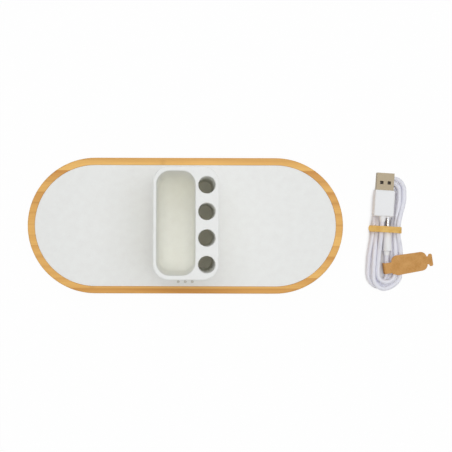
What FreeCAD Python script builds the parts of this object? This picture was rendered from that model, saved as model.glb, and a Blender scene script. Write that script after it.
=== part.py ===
import FreeCAD, Part
import math
import os

# Desk charging station: a bamboo-framed base with two wireless charging areas, a moulded
# organizer block in the middle, and its supply cable wound into a tied hank beside it.
# Millimetres, +X along the base, +Y to the back, +Z up, origin under the middle of the base.

V = FreeCAD.Vector
X_AXIS = V(1, 0, 0)
Y_AXIS = V(0, 1, 0)
Z_AXIS = V(0, 0, 1)
CUT_PAST = 1.0

# Base
base_length = 221.0
base_width = 95.0
base_height = 16.0
ring_wall = 5.0
ring_ledge = 2.0
ring_round = 0.9
ring_inner_round = 0.2
plate_thickness = 2.2
plate_sink = 0.3
plate_round = 0.15
seat_clearance = 0.1
cover_thickness = 2.0

# Feet
foot_diameter = 11.0
foot_proud = 1.2
foot_recess = 0.8
foot_bevel = 0.5
foot_end_inset = 38.0
foot_side_inset = 21.0
foot_clearance = 0.1

# Organizer block
block_length = 41.0
block_width = 70.5
block_height = 68.0
block_shift_y = 1.4
block_corner = 10.0
block_rim_round = 0.7
block_wall = 2.2
block_end_wall = 2.8
block_floor = 2.2
block_floor_height = 6.0
pocket_corner = 8.4
pocket_floor_round = 7.0
pocket_web = 1.9
well_diameter = 10.6
well_count = 4
well_front_inset = 9.6
well_back_inset = 11.4
well_tube_wall = 1.9
block_boss_diameter = 6.0
block_boss_inset_x = 8.0
block_boss_inset_y = 10.0

# Screws: the pilot hole is wider than the shank by twice the clearance
screw_shank = 1.8
screw_clearance = 0.1
screw_head = 4.2
screw_head_height = 1.6
screw_engagement = 4.2
head_clearance = 0.3

# Bosses between plate and cover
boss_diameter = 6.0
end_boss_inset = 15.0
side_boss_gap = 9.0
side_boss_inset = 17.0
cover_boss_diameter = 7.5
cover_boss_height = 2.0

# Circuit board
board_thickness = 1.2
board_standoff = 2.4
board_standoff_diameter = 5.0
board_edge_gap = 0.5
board_corner = 2.0
board_hole_inset_x = 4.0
board_hole_inset_y = 14.0
chip_size = 7.0
chip_height = 0.9
transistor_length = 6.0
transistor_width = 5.0
transistor_height = 1.0
transistor_pitch = 8.0
inductor_size = 7.0
inductor_height = 4.0
inductor_corner = 1.5
capacitor_length = 7.2
capacitor_width = 4.0
capacitor_height = 4.5
capacitor_pitch = 5.5
board_part_gap = 2.0
led_length = 1.6
led_width = 0.8
led_height = 0.6

# Supply socket in the back of the ring
socket_width = 8.94
socket_height = 3.26
socket_depth = 7.35
socket_wall = 0.3
socket_tongue_width = 6.7
socket_tongue_height = 0.7
socket_tongue_length = 4.6
socket_back = 1.6
port_recess = 4.8
port_width = 13.4
port_height = 7.6

# Indicator dots in front of the block
dot_count = 3
dot_pitch = 4.9
dot_inset = 8.2
dot_diameter = 1.8
dot_clearance = 0.1
guide_bar_height = 1.5
guide_bar_overhang = 1.5
guide_led_gap = 0.3

# Charging coils under the plate
coil_outer = 43.0
coil_inner = 20.0
coil_thickness = 1.2
coil_fence_gap = 1.0
coil_fence_wall = 1.2
coil_fence_height = 2.2
coil_tab_width = 5.0
coil_tab_proud = 1.0
ferrite_margin = 0.5
ferrite_thickness = 0.8
lead_diameter = 0.9
lead_pitch = 2.4
lead_bend = 2.5
lead_landing = 3.0
lead_run = 10.3

# Supply cable: cord, hank and the pieces on it
cord_diameter = 3.2
hank_gap = 31.8
hank_waist_y = -2.0
hank_inner = 3.73
hank_step = 3.85
hank_first_half_turn = 2
hank_last_half_turn = 10
hank_layer_rise = 3.8
hank_bulge = 1.2
hank_upper_y = 21.5
hank_lower_y = -33.2
hank_upper_skew = 1.6
hank_lower_skew = -0.8
hank_end_reach = 1.4
tail_lower_x = 1.8
tie_thickness = 0.8
tie_width = 5.0
tie_clearance = 0.3

usb_c_shift_x = 1.0
usb_c_front_y = -0.6
usb_c_centre_z = 6.3
usb_c_body_height = 10.0
usb_c_body_thickness = 5.6
usb_c_body_length = 17.0
usb_c_relief_length = 3.0
usb_c_relief_diameter = 4.4
usb_c_shell_width = 8.25
usb_c_shell_thickness = 2.4
usb_c_shell_length = 6.65
usb_c_shell_wall = 0.3
usb_c_edge_round = 0.8

usb_a_relief_x = -3.6
usb_a_relief_y = 3.0
usb_a_turn = -3.5
usb_a_relief_length = 3.9
usb_a_relief_diameter = 5.2
usb_a_body_width = 14.0
usb_a_body_height = 7.4
usb_a_body_length = 18.5
usb_a_body_round = 1.1
usb_a_shell_width = 12.0
usb_a_shell_height = 4.5
usb_a_shell_length = 12.0
usb_a_shell_wall = 0.35
usb_a_window = 2.3
usb_a_window_pitch = 5.2
usb_a_window_inset = 5.2
usb_a_tongue_height = 1.9
usb_a_tongue_gap = 0.15
usb_a_tongue_setback = 0.6

tag_thickness = 0.5
tag_tilt = 8.0
tag_shift_x = -1.8
tag_shift_y = -30.2
tag_tail_length = 5.7
tag_tail_width = 7.0
tag_body_length = 26.0
tag_body_width = 13.6
tag_body_corner = 4.0
tag_body_rise = 1.6
tag_neck_length = 1.2
tag_neck_width = 4.6
tag_bar_length = 2.6
tag_bar_width = 9.2
tag_bend = 1.0
tag_return = 3.2
tag_floor_gap = 0.2

# Levels
z_cover_bottom = foot_proud
z_cover_top = z_cover_bottom + cover_thickness
z_plate_top = base_height - plate_sink
z_plate_bottom = z_plate_top - plate_thickness
z_board_bottom = z_cover_top + board_standoff
z_board_top = z_board_bottom + board_thickness
z_block_top = z_plate_top + block_height
z_pocket_floor = z_plate_top + block_floor_height
z_port = z_board_top + socket_height / 2
pilot_diameter = screw_shank + 2 * screw_clearance
cover_hole_diameter = screw_shank + 2 * head_clearance

# Places worked out from the sizes above
inner_inset = ring_wall + ring_ledge
board_depth = base_width - 2 * (inner_inset + board_edge_gap)
coil_shift_x = (block_length / 2 + base_length / 2 - ring_wall) / 2
coil_tab_length = coil_fence_gap + coil_fence_wall + coil_tab_proud
ferrite_diameter = coil_outer + 2 * ferrite_margin
lead_start_x = coil_shift_x - coil_outer / 2 - coil_tab_length
board_length = 2 * (lead_start_x - lead_run)
side_boss_x = board_length / 2 + side_boss_gap
board_part_end_x = board_length / 2 - lead_landing - lead_diameter / 2 - board_part_gap
dot_y = dot_inset - base_width / 2
guide_bar_width = 2 * (dot_inset - inner_inset - seat_clearance)
well_x = block_length / 2 - block_wall - well_diameter / 2
pocket_right = well_x - well_diameter / 2 - pocket_web
pocket_left = block_wall - block_length / 2
well_pitch = (block_width - well_front_inset - well_back_inset) / (well_count - 1)
well_first_y = block_shift_y - block_width / 2 + well_front_inset
well_places = [well_first_y + i * well_pitch for i in range(well_count)]
dot_places = [(i - (dot_count - 1) / 2) * dot_pitch for i in range(dot_count)]
hank_x = base_length / 2 + hank_gap
z_layer_1 = tie_thickness + tie_clearance + cord_diameter / 2
z_layer_2 = z_layer_1 + hank_layer_rise
z_on_hank = z_layer_2 + cord_diameter / 2 + tie_clearance
z_usb_a = z_on_hank + usb_a_body_height / 2


def box(x0, x1, y0, y1, z0, z1):
    return Part.makeBox(x1 - x0, y1 - y0, z1 - z0, V(x0, y0, z0))


def centred_box(length, width, z0, z1, x=0.0, y=0.0):
    return box(x - length / 2, x + length / 2, y - width / 2, y + width / 2, z0, z1)


def cylinder(diameter, z0, z1, x=0.0, y=0.0):
    return Part.makeCylinder(diameter / 2, z1 - z0, V(x, y, z0))


def upright_edges(shape):
    return [e for e in shape.Edges if abs(e.tangentAt(e.FirstParameter).z) > 0.99 and len(e.Vertexes) == 2]


def level_edges(shape, z):
    return [e for e in shape.Edges if abs(e.BoundBox.ZMin - z) < 1e-4 and abs(e.BoundBox.ZMax - z) < 1e-4]


def rounded_prism(length, width, corner, z0, z1, x=0.0, y=0.0):
    prism = centred_box(length, width, z0, z1, x, y)
    return prism.makeFillet(corner, upright_edges(prism))


def stadium_prism(inset, z0, z1):
    """Pill-shaped prism that follows the outline of the base at a distance inside it."""
    radius = base_width / 2 - inset
    reach = base_length / 2 - base_width / 2
    corners = [V(-reach, -radius, z0), V(reach, -radius, z0), V(reach, radius, z0), V(-reach, radius, z0)]
    edges = [
        Part.LineSegment(corners[0], corners[1]).toShape(),
        Part.Arc(corners[1], V(reach + radius, 0, z0), corners[2]).toShape(),
        Part.LineSegment(corners[2], corners[3]).toShape(),
        Part.Arc(corners[3], V(-reach - radius, 0, z0), corners[0]).toShape(),
    ]
    return Part.Face(Part.Wire(edges)).extrude(V(0, 0, z1 - z0))


def obround_along_y(width, height, y0, y1, x, z):
    """Bar of obround section that runs along Y, wider in X than it is high."""
    reach = (width - height) / 2
    radius = height / 2
    edges = [
        Part.LineSegment(V(x - reach, y0, z - radius), V(x + reach, y0, z - radius)).toShape(),
        Part.Arc(V(x + reach, y0, z - radius), V(x + reach + radius, y0, z),
                 V(x + reach, y0, z + radius)).toShape(),
        Part.LineSegment(V(x + reach, y0, z + radius), V(x - reach, y0, z + radius)).toShape(),
        Part.Arc(V(x - reach, y0, z + radius), V(x - reach - radius, y0, z),
                 V(x - reach, y0, z - radius)).toShape(),
    ]
    return Part.Face(Part.Wire(edges)).extrude(V(0, y1 - y0, 0))


def fuse_all(shapes):
    return shapes[0].multiFuse(shapes[1:]).removeSplitter()


def cut_all(shape, tools):
    return shape.cut(Part.makeCompound(tools))


def export(shape, name):
    solids = shape.Solids
    result = solids[0] if len(solids) == 1 else Part.makeCompound(solids)
    if not result.isValid():
        print("not valid:", name)
    result.exportStep("parts/" + name + ".step")
    print(f"{name}: {len(solids)} solid(s), {result.Volume:.1f} mm3")


def boss_places():
    """Screw places that hold the cover to the plate: one at each end, four along the sides."""
    end_x = base_length / 2 - end_boss_inset
    side_y = base_width / 2 - side_boss_inset
    places = [(-end_x, 0.0), (end_x, 0.0)]
    places += [(sx * side_boss_x, sy * side_y) for sx in (-1, 1) for sy in (-1, 1)]
    return places


def foot_places():
    x = base_length / 2 - foot_end_inset
    y = base_width / 2 - foot_side_inset
    return {
        "front_left": (-x, -y),
        "front_right": (x, -y),
        "back_left": (-x, y),
        "back_right": (x, y),
    }


def board_hole_places():
    x = board_length / 2 - board_hole_inset_x
    y = board_depth / 2 - board_hole_inset_y
    return [(sx * x, sy * y) for sx in (-1, 1) for sy in (-1, 1)]


def block_boss_places():
    """Two bosses under the pocket floor, and one in each outer gap of the well row."""
    left = -block_length / 2 + block_boss_inset_x
    reach = block_width / 2 - block_boss_inset_y
    gaps = [(well_places[0] + well_places[1]) / 2, (well_places[-2] + well_places[-1]) / 2]
    return [(left, block_shift_y - reach), (left, block_shift_y + reach)] + [(well_x, y) for y in gaps]


def screw(x, y, z_seat, shank_length):
    """Pan-head screw that points up: the head's top face lies against the seat."""
    head = cylinder(screw_head, z_seat - screw_head_height, z_seat, x, y)
    return head.fuse(cylinder(screw_shank, z_seat, z_seat + shank_length, x, y)).removeSplitter()


# Base pieces
def make_bamboo_ring():
    blank = stadium_prism(0, z_cover_bottom, base_height)
    rims = level_edges(blank, base_height) + level_edges(blank, z_cover_bottom)
    ring = blank.makeFillet(ring_round, rims)
    ring = ring.cut(stadium_prism(inner_inset, z_cover_bottom - CUT_PAST, base_height + CUT_PAST))
    ring = ring.cut(stadium_prism(ring_wall, z_plate_bottom, base_height + CUT_PAST))
    ring = ring.cut(stadium_prism(ring_wall, z_cover_bottom - CUT_PAST, z_cover_top))
    inner_rim = [e for e in level_edges(ring, base_height) if e.BoundBox.YMax <= base_width / 2 - ring_wall + 1e-3]
    ring = ring.makeFillet(ring_inner_round, inner_rim)
    port = obround_along_y(port_width, port_height, base_width / 2 - inner_inset - CUT_PAST,
                           base_width / 2 + CUT_PAST, 0, z_port)
    return ring.cut(port)


def make_top_plate():
    plate = stadium_prism(ring_wall + seat_clearance, z_plate_bottom, z_plate_top)
    plate = plate.makeFillet(plate_round, level_edges(plate, z_plate_top))
    z_boss = z_cover_top + cover_boss_height
    fence_inner = coil_outer + 2 * coil_fence_gap
    fence_outer = fence_inner + 2 * coil_fence_wall
    z_fence = z_plate_bottom - coil_fence_height
    added = [cylinder(boss_diameter, z_boss, z_plate_bottom, x, y) for x, y in boss_places()]
    removed = [cylinder(pilot_diameter, z_boss, z_plate_bottom, x, y) for x, y in boss_places()]
    for side in (-1, 1):
        x = side * coil_shift_x
        fence = cylinder(fence_outer, z_fence, z_plate_bottom, x)
        fence = fence.cut(cylinder(fence_inner, z_fence, z_plate_bottom, x))
        notch_x = x - side * fence_outer / 2
        notch = centred_box(fence_outer / 2, coil_tab_width + 2 * coil_fence_gap, z_fence, z_plate_bottom, notch_x)
        added.append(fence.cut(notch))
    removed += [cylinder(cover_hole_diameter, z_plate_bottom, z_plate_top, x, y) for x, y in block_boss_places()]
    dot_hole = dot_diameter + 2 * dot_clearance
    removed += [cylinder(dot_hole, z_plate_bottom, z_plate_top, x, dot_y) for x in dot_places]
    return cut_all(fuse_all([plate] + added), removed)


def make_bottom_cover():
    cover = stadium_prism(ring_wall + seat_clearance, z_cover_bottom, z_cover_top)
    z_seat = z_cover_bottom + screw_head_height + head_clearance
    added = []
    removed = []
    for x, y in boss_places():
        added.append(cylinder(cover_boss_diameter, z_cover_top, z_cover_top + cover_boss_height, x, y))
        removed.append(cylinder(screw_head + 2 * head_clearance, z_cover_bottom, z_seat, x, y))
        removed.append(cylinder(cover_hole_diameter, z_seat, z_cover_top + cover_boss_height, x, y))
    for x, y in board_hole_places():
        added.append(cylinder(board_standoff_diameter, z_cover_top, z_board_bottom, x, y))
        removed.append(cylinder(pilot_diameter, z_cover_bottom + foot_recess, z_board_bottom, x, y))
    recess = foot_diameter + 2 * foot_clearance
    for x, y in foot_places().values():
        removed.append(cylinder(recess, z_cover_bottom, z_cover_bottom + foot_recess, x, y))
    return cut_all(fuse_all([cover] + added), removed)


def make_foot(x, y):
    foot = cylinder(foot_diameter, 0, foot_proud + foot_recess, x, y)
    return foot.makeChamfer(foot_bevel, level_edges(foot, 0))


def make_organizer_block():
    """Moulded block: pocket and pen wells open upwards, cored from below between the wells."""
    y = block_shift_y
    body = rounded_prism(block_length, block_width, block_corner, z_plate_top, z_block_top, 0, y)
    pocket_length = pocket_right - pocket_left
    pocket_width = block_width - 2 * block_end_wall
    pocket_x = (pocket_left + pocket_right) / 2
    pocket = rounded_prism(pocket_length, pocket_width, pocket_corner, z_pocket_floor,
                           z_block_top, pocket_x, y)
    pocket = pocket.makeFillet(pocket_floor_round, level_edges(pocket, z_pocket_floor))
    removed = [pocket]
    removed += [cylinder(well_diameter, z_pocket_floor, z_block_top, well_x, place) for place in well_places]
    block = cut_all(body, removed)
    block = block.makeFillet(block_rim_round, level_edges(block, z_block_top))
    return cut_all(block, block_cores())


def block_cores():
    """Hollows that the mould leaves in the underside, with the screw bosses left standing."""
    z_under_floor = z_pocket_floor - block_floor
    z_under_deck = z_block_top - block_floor
    core_length = pocket_right - pocket_left - pocket_web
    core_width = block_width - 2 * block_end_wall
    core_x = (pocket_left + pocket_right) / 2
    under_pocket = rounded_prism(core_length, core_width, pocket_corner - pocket_web, z_plate_top,
                                 z_under_floor, core_x, block_shift_y)
    bosses = [cylinder(block_boss_diameter, z_plate_top, z_block_top, px, py) for px, py in block_boss_places()]
    cores = [cut_all(under_pocket, bosses)]
    tube = well_diameter + 2 * well_tube_wall
    for low, high in zip(well_places[:-1], well_places[1:]):
        gap = box(well_x - well_diameter / 2, well_x + well_diameter / 2, low, high, z_plate_top, z_under_deck)
        tubes = [cylinder(tube, z_plate_top, z_block_top, well_x, place) for place in (low, high)]
        cores.append(cut_all(gap, tubes + bosses))
    z_pilot = z_plate_top + screw_engagement
    cores += [cylinder(pilot_diameter, z_plate_top, z_pilot, px, py) for px, py in block_boss_places()]
    return cores


# Electronics
def make_circuit_board():
    board = rounded_prism(board_length, board_depth, board_corner, z_board_bottom, z_board_top)
    holes = [cylinder(cover_hole_diameter, z_board_bottom, z_board_top, x, y) for x, y in board_hole_places()]
    return cut_all(board, holes)


def make_socket():
    """Metal shell and plastic insulator of the supply socket, mouth at the back."""
    y_mouth = base_width / 2 - port_recess
    y_back = y_mouth - socket_depth
    shell = obround_along_y(socket_width, socket_height, y_back, y_mouth, 0, z_port)
    bore_width = socket_width - 2 * socket_wall
    bore_height = socket_height - 2 * socket_wall
    shell = shell.cut(obround_along_y(bore_width, bore_height, y_back, y_mouth, 0, z_port))
    insulator = obround_along_y(bore_width - 2 * screw_clearance, bore_height - 2 * screw_clearance,
                                y_back, y_back + socket_back, 0, z_port)
    y_tongue = y_back + socket_back
    tongue = box(-socket_tongue_width / 2, socket_tongue_width / 2, y_tongue, y_tongue + socket_tongue_length,
                 z_port - socket_tongue_height / 2, z_port + socket_tongue_height / 2)
    return shell, insulator.fuse(tongue).removeSplitter()


def make_board_parts():
    top = z_board_top
    chip = centred_box(chip_size, chip_size, top, top + chip_height)
    transistor_y = chip_size + transistor_width
    transistors = [
        centred_box(transistor_length, transistor_width, top, top + transistor_height, sx * transistor_pitch, sy * transistor_y)
        for sx in (-1, 1) for sy in (-1, 1)
    ]
    inductor_x = board_part_end_x - inductor_size / 2
    capacitor_x = capacitor_length / 2 - board_part_end_x
    inductor = rounded_prism(inductor_size, inductor_size, inductor_corner, top, top + inductor_height, inductor_x)
    capacitors = [
        centred_box(capacitor_length, capacitor_width, top, top + capacitor_height, capacitor_x, step * capacitor_pitch)
        for step in (-1, 0, 1)
    ]
    leds = [centred_box(led_length, led_width, top, top + led_height, x, dot_y) for x in dot_places]
    return chip, transistors, inductor, capacitors, leds


def make_light_guide():
    """Clear moulding: three pins through the plate on one bar, with legs down to the lamps."""
    length = (dot_count - 1) * dot_pitch + dot_diameter + 2 * guide_bar_overhang
    bar = centred_box(length, guide_bar_width, z_plate_bottom - guide_bar_height, z_plate_bottom, 0, dot_y)
    z_foot = z_board_top + led_height + guide_led_gap
    pins = [cylinder(dot_diameter, z_foot, z_plate_top, x, dot_y) for x in dot_places]
    return fuse_all([bar] + pins)


def make_coil(side):
    """Flat wound coil as a ring, with the taped lead-out that points at the board."""
    x = side * coil_shift_x
    z0 = z_plate_bottom - coil_thickness
    ring = cylinder(coil_outer, z0, z_plate_bottom, x).cut(cylinder(coil_inner, z0, z_plate_bottom, x))
    edge = x - side * coil_outer / 2
    ends = sorted((edge + side * coil_fence_gap, edge - side * coil_tab_length))
    tab = box(ends[0], ends[1], -coil_tab_width / 2, coil_tab_width / 2, z0, z_plate_bottom)
    return ring.fuse(tab).removeSplitter()


def make_leads(side):
    """Two wires from the coil's lead-out, bent down square on to the board."""
    start_x = side * lead_start_x
    land_x = side * (board_length / 2 - lead_landing)
    z = z_plate_bottom - coil_thickness / 2
    bend_x = land_x + side * lead_bend
    mid = lead_bend * (1 - math.sqrt(0.5))
    leads = []
    for y in (-lead_pitch / 2, lead_pitch / 2):
        path = Part.Wire([
            Part.LineSegment(V(start_x, y, z), V(bend_x, y, z)).toShape(),
            Part.Arc(V(bend_x, y, z), V(land_x + side * mid, y, z - mid), V(land_x, y, z - lead_bend)).toShape(),
            Part.LineSegment(V(land_x, y, z - lead_bend), V(land_x, y, z_board_top)).toShape(),
        ])
        leads.append(tube_along(path, lead_diameter))
    return Part.makeCompound(leads)


def tube_along(path, diameter):
    start = path.OrderedEdges[0]
    first = start.valueAt(start.FirstParameter)
    heading = start.tangentAt(start.FirstParameter)
    circle = Part.Wire(Part.Circle(first, heading, diameter / 2).toShape())
    shell = Part.BRepOffsetAPI.MakePipeShell(path)
    shell.add(circle)
    shell.build()
    shell.makeSolid()
    return shell.shape()


# Supply cable
def arc_edge(start, corner, end):
    """Arc from start to end that touches both lines to the corner between them."""
    middle = (start + end) * 0.5
    rise = (corner - middle).Length
    half_chord = (end - start).Length / 2
    if rise < 1e-6:
        return Part.LineSegment(start, end).toShape()
    sagitta = half_chord * math.tan(math.atan2(rise, half_chord) / 2)
    return Part.Arc(start, middle + (corner - middle) * (sagitta / rise), end).toShape()


def biarc(start, heading, end, end_heading):
    """Two tangent arcs from one point and direction to another."""
    span = end - start
    a = 2 * (heading.dot(end_heading) - 1)
    b = -2 * span.dot(heading + end_heading)
    c = span.dot(span)
    if abs(a) < 1e-9:
        reach = -c / b
    else:
        reach = (-b - math.sqrt(b * b - 4 * a * c)) / (2 * a)
    corner = start + heading * reach
    end_corner = end - end_heading * reach
    joint = (corner + end_corner) * 0.5
    return [arc_edge(start, corner, joint), arc_edge(joint, end_corner, end)]


def hank_offset(half_turn):
    """Distance from the hank's centre line: out to the middle half turn, then in again."""
    middle = (hank_first_half_turn + hank_last_half_turn) / 2
    turns_left = (hank_last_half_turn - hank_first_half_turn) / 2 - abs(half_turn - middle)
    return hank_inner + hank_step * turns_left / 2


def hank_run(half_turn):
    """Three stops of one run, low to high: even half turns are on the left, odd ones on the right."""
    middle = (hank_first_half_turn + hank_last_half_turn) / 2
    side = -1 if half_turn % 2 == 0 else 1
    low = z_layer_1 if half_turn <= middle else z_layer_2
    high = z_layer_1 if half_turn < middle else z_layer_2
    offset = hank_offset(half_turn)
    wide = offset + hank_bulge
    return [
        V(hank_x + hank_lower_skew + side * wide, hank_lower_y, low),
        V(hank_x + side * offset, hank_waist_y, (low + high) / 2),
        V(hank_x + hank_upper_skew + side * wide, hank_upper_y, high),
    ]


def hank_end(first, second, half_turn):
    """Turning point of an end between two runs."""
    reach = hank_offset(half_turn) + hank_end_reach
    y = hank_upper_y + reach if first.y > 0 else hank_lower_y - reach
    return V((first.x + second.x) / 2, y, first.z)


def usb_c_end():
    """Place where the cord leaves the smaller plug."""
    y = usb_c_front_y - usb_c_body_length - usb_c_relief_length
    return V(hank_x + usb_c_shift_x, y, usb_c_centre_z)


def usb_a_end():
    """Place where the cord leaves the larger plug, and the direction into it."""
    turn = math.radians(usb_a_turn)
    heading = V(-math.sin(turn), math.cos(turn), 0)
    return V(hank_x + usb_a_relief_x, usb_a_relief_y, z_usb_a), heading


def hank_path():
    """One unbroken line from plug to plug: out through the first layer, in through the second."""
    down = Y_AXIS * -1
    start = usb_c_end()
    straight = start + down * cord_diameter
    tail = V(hank_x + tail_lower_x, hank_lower_y, z_layer_1)
    stops = [(straight, down), (tail, down)]
    for half_turn in range(hank_first_half_turn, hank_last_half_turn + 1):
        run = hank_run(half_turn)
        going_up = half_turn % 2 == 0
        ordered = run if going_up else run[::-1]
        heading = Y_AXIS if going_up else down
        turning = X_AXIS * -1 if going_up else X_AXIS
        stops.append((hank_end(stops[-1][0], ordered[0], half_turn - 0.5), turning))
        if half_turn == hank_last_half_turn:
            ordered = ordered[:1]
        stops += [(point, heading) for point in ordered]
    plug, into_plug = usb_a_end()
    stops.append((plug - into_plug * cord_diameter, into_plug))
    edges = [Part.LineSegment(start, straight).toShape()]
    for (point, heading), (after, next_heading) in zip(stops[:-1], stops[1:]):
        edges += biarc(point, heading, after, next_heading)
    edges.append(Part.LineSegment(stops[-1][0], plug).toShape())
    return edges


def print_cord_facts(edges):
    """Length, tightest bend and least gap of the cord to itself, on points along its line."""
    point_step = 0.8
    near = 4 * cord_diameter
    points = []
    along = 0.0
    for edge in edges:
        count = max(2, int(edge.Length / point_step))
        for i in range(count):
            share = i / count
            parameter = edge.FirstParameter + share * (edge.LastParameter - edge.FirstParameter)
            points.append((along + share * edge.Length, edge.valueAt(parameter)))
        along += edge.Length
    least = min(
        (p - q).Length
        for i, (s, p) in enumerate(points)
        for t, q in points[i + 1:]
        if t - s > near
    )
    radii = [e.Curve.Radius for e in edges if hasattr(e.Curve, "Radius")]
    print(f"cord: {along:.0f} mm long, tightest bend {min(radii):.2f} mm, least gap {least - cord_diameter:.2f} mm")
    print("cord bends:", " ".join(f"{r:.1f}" for r in radii))


def make_cable_hank():
    edges = hank_path()
    print_cord_facts(edges)
    length = sum(e.Length for e in edges)
    hank = tube_along(Part.Wire(edges), cord_diameter)
    print(f"cord volume over section times length: {hank.Volume / (length * math.pi * cord_diameter ** 2 / 4):.4f}")
    return hank


def make_usb_c_plug():
    """Smaller plug on edge in the middle of the hank, tip towards the back."""
    x = hank_x + usb_c_shift_x
    z = usb_c_centre_z
    y_back = usb_c_front_y - usb_c_body_length
    turned = FreeCAD.Rotation(Y_AXIS, 90)
    body = obround_along_y(usb_c_body_height, usb_c_body_thickness, y_back, usb_c_front_y, 0, 0)
    rims = [e for e in body.Edges if abs(e.BoundBox.YMax - e.BoundBox.YMin) < 1e-4]
    body = body.makeFillet(usb_c_edge_round, rims)
    relief = Part.makeCone(cord_diameter / 2 + tie_clearance, usb_c_relief_diameter / 2,
                           usb_c_relief_length + usb_c_edge_round, V(0, y_back - usb_c_relief_length, 0), Y_AXIS)
    overmold = body.fuse(relief).removeSplitter()
    tip = usb_c_front_y + usb_c_shell_length
    shell = obround_along_y(usb_c_shell_width, usb_c_shell_thickness, usb_c_front_y, tip, 0, 0)
    bore = obround_along_y(usb_c_shell_width - 2 * usb_c_shell_wall, usb_c_shell_thickness - 2 * usb_c_shell_wall,
                           usb_c_front_y + usb_c_shell_wall, tip, 0, 0)
    shell = shell.cut(bore)
    place = FreeCAD.Placement(V(x, 0, z), turned)
    for piece in (overmold, shell):
        piece.Placement = place
    return overmold, shell


def make_usb_a_plug():
    """Larger plug on top of the hank: overmould with strain relief, folded shell and tongue."""
    body_y = usb_a_relief_length
    shell_y = body_y + usb_a_body_length
    tip_y = shell_y + usb_a_shell_length
    half_h = usb_a_body_height / 2
    body = box(-usb_a_body_width / 2, usb_a_body_width / 2, body_y, shell_y, -half_h, half_h)
    body = body.makeFillet(usb_a_body_round, body.Edges)
    relief = Part.makeCone(cord_diameter / 2 + tie_clearance, usb_a_relief_diameter / 2,
                           usb_a_relief_length + usb_a_body_round, V(0, 0, 0), Y_AXIS)
    overmold = body.fuse(relief).removeSplitter()
    half_w = usb_a_shell_width / 2
    half_s = usb_a_shell_height / 2
    wall = usb_a_shell_wall
    shell = box(-half_w, half_w, shell_y, tip_y, -half_s, half_s)
    removed = [box(wall - half_w, half_w - wall, shell_y + wall, tip_y, wall - half_s, half_s - wall)]
    window_y = shell_y + usb_a_window_inset
    for side in (-1, 1):
        window_x = side * usb_a_window_pitch / 2
        removed.append(centred_box(usb_a_window, usb_a_window, -half_s, half_s, window_x, window_y))
    shell = cut_all(shell, removed)
    gap = wall + usb_a_tongue_gap
    tongue = box(gap - half_w, half_w - gap, shell_y + wall, tip_y - usb_a_tongue_setback,
                 wall - half_s, wall - half_s + usb_a_tongue_height)
    base, heading = usb_a_end()
    place = FreeCAD.Placement(base, FreeCAD.Rotation(Z_AXIS, usb_a_turn))
    for piece in (overmold, shell, tongue):
        piece.Placement = place
    return overmold, shell, tongue


def make_cable_tie():
    """Kraft band drawn round everything at the waist of the hank."""
    outer_left = hank_offset((hank_first_half_turn + hank_last_half_turn) / 2)
    outer_right = hank_offset((hank_first_half_turn + hank_last_half_turn) / 2 - 1)
    next_left = outer_left - hank_step
    corner = cord_diameter / 2
    plug_right = usb_c_shift_x + usb_c_body_thickness / 2 - corner
    plug_top = usb_c_centre_z + usb_c_body_height / 2 - corner
    centres = [
        (-outer_left, (z_layer_1 + z_layer_2) / 2),
        (-next_left, z_layer_1),
        (outer_right, z_layer_1),
        (outer_right, z_layer_2),
        (plug_right, plug_top),
        (usb_a_relief_x, z_usb_a),
    ]
    y = hank_waist_y - tie_width / 2
    corners = [V(hank_x + px, y, pz) for px, pz in centres]
    core = Part.Face(Part.makePolygon(corners + corners[:1]))
    inner = core.makeOffset2D(corner + tie_clearance)
    outer = core.makeOffset2D(corner + tie_clearance + tie_thickness)
    return outer.cut(inner).extrude(V(0, tie_width, 0))


def make_cable_tag():
    """Kraft tag: tail hooked round the cord, rounded body, neck and cross bar."""
    t = tag_thickness
    half_tail = tag_tail_width / 2
    body_x = tag_tail_length
    neck_x = body_x + tag_body_length
    bar_x = neck_x + tag_neck_length
    body = box(body_x, neck_x, tag_body_rise - tag_body_width / 2, tag_body_rise + tag_body_width / 2, 0, t)
    body = body.makeFillet(tag_body_corner, upright_edges(body))
    tail = box(0, body_x + tag_body_corner, -half_tail, half_tail, 0, t)
    neck = box(neck_x - t, bar_x + t, tag_body_rise - tag_neck_width / 2, tag_body_rise + tag_neck_width / 2, 0, t)
    bar = box(bar_x, bar_x + tag_bar_length, tag_body_rise - tag_bar_width / 2, tag_body_rise + tag_bar_width / 2, 0, t)
    bar = bar.makeFillet(tag_bar_length / 3, upright_edges(bar))
    drop = tag_floor_gap + tag_thickness + tag_bend - z_on_hank
    hook = [
        tag_bend_piece(0, -tag_bend, 90),
        box(-tag_bend - t, -tag_bend, -half_tail, half_tail, drop, -tag_bend),
        tag_bend_piece(0, drop, 180),
        box(0, tag_return, -half_tail, half_tail, drop - tag_bend - t, drop - tag_bend),
    ]
    tag = fuse_all([tail, body, neck, bar] + hook)
    tag.Placement = FreeCAD.Placement(V(hank_x + tag_shift_x, tag_shift_y, z_on_hank), FreeCAD.Rotation(Z_AXIS, tag_tilt))
    return tag


def tag_bend_piece(x, z, start_angle):
    """Quarter bend of the tag's tail about an axis along Y."""
    size = tag_tail_width
    place = V(x, size / 2, z)
    ring = Part.makeCylinder(tag_bend + tag_thickness, size, place, Y_AXIS * -1)
    ring = ring.cut(Part.makeCylinder(tag_bend, size, place, Y_AXIS * -1))
    reach = tag_bend + tag_thickness
    low = 0 if start_angle == 90 else -reach
    return ring.common(box(x - reach, x, -size / 2, size / 2, z + low, z + low + reach))


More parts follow.
